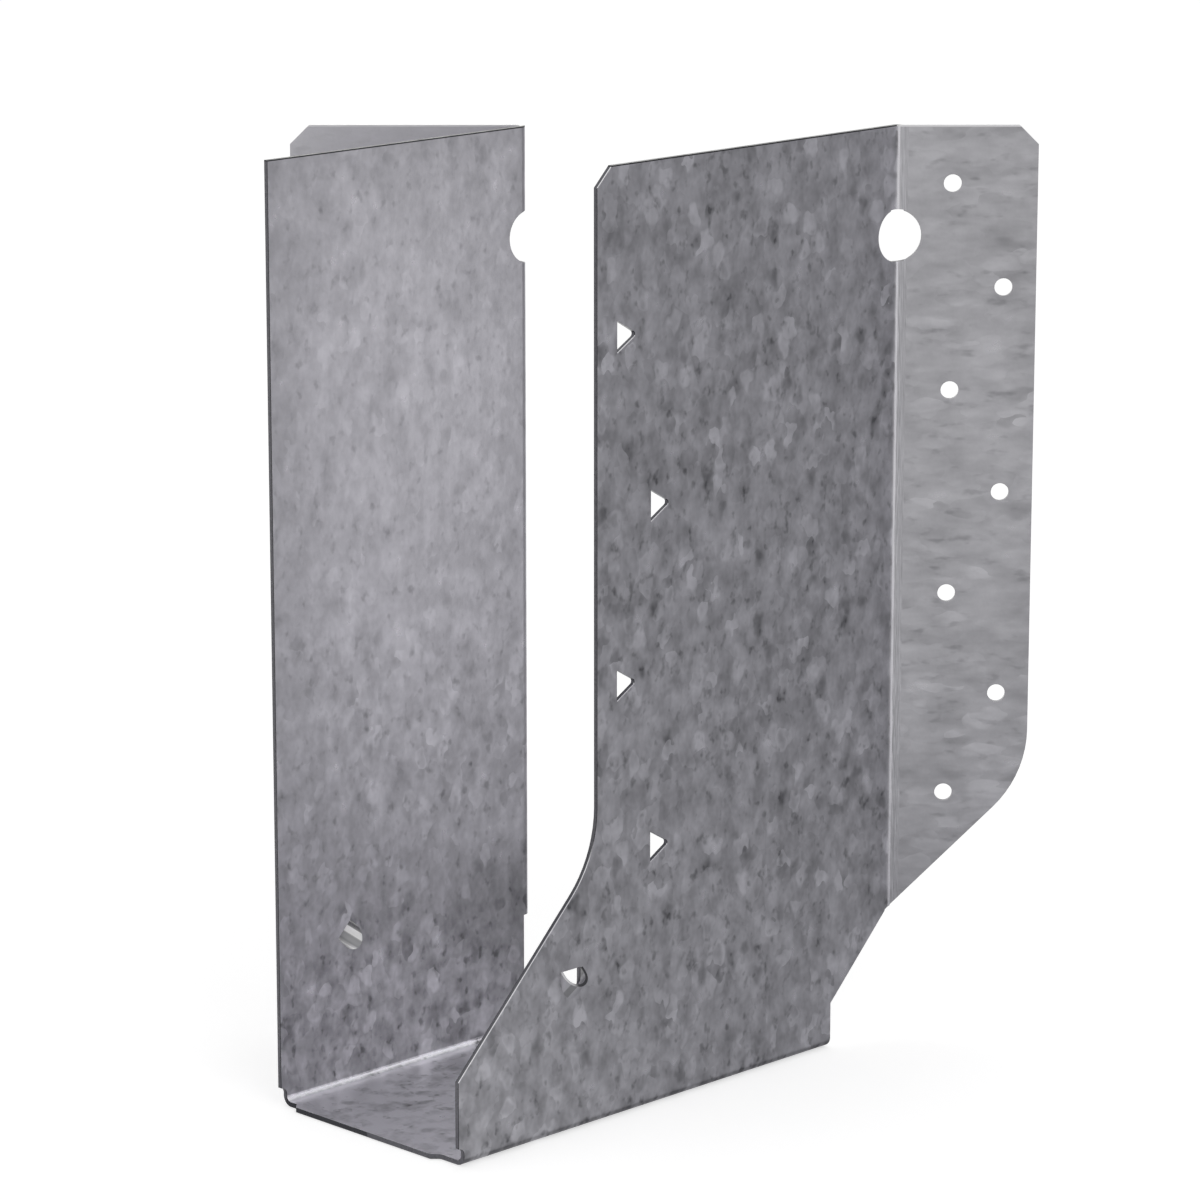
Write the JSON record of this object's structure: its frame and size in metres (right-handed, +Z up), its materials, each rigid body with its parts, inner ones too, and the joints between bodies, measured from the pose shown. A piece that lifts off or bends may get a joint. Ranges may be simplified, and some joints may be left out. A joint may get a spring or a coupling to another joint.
{
  "type": "joist hanger",
  "caption": "Skewed face-mount joist hanger of folded galvanised sheet: a seat between two side plates, and two nailing flanges set at 45 degrees to the joist.",
  "frame": {"origin": "on the underside of the seat, on the joist's centreline, midway between the seat's front and back edges", "axes": "+X across the joist toward the plate with the low toe, +Y along the joist toward the header, +Z up; the header face is vertical and its normal is turned 45 degrees from +Y toward -X"},
  "size_m": [0.1286, 0.1724, 0.2283],
  "materials": {
    "galvanised_steel": "hot-dip galvanised, soft spangle"
  },
  "bodies": {
    "root": {"hanger": "galvanised_steel"}
  },
  "joints": []
}
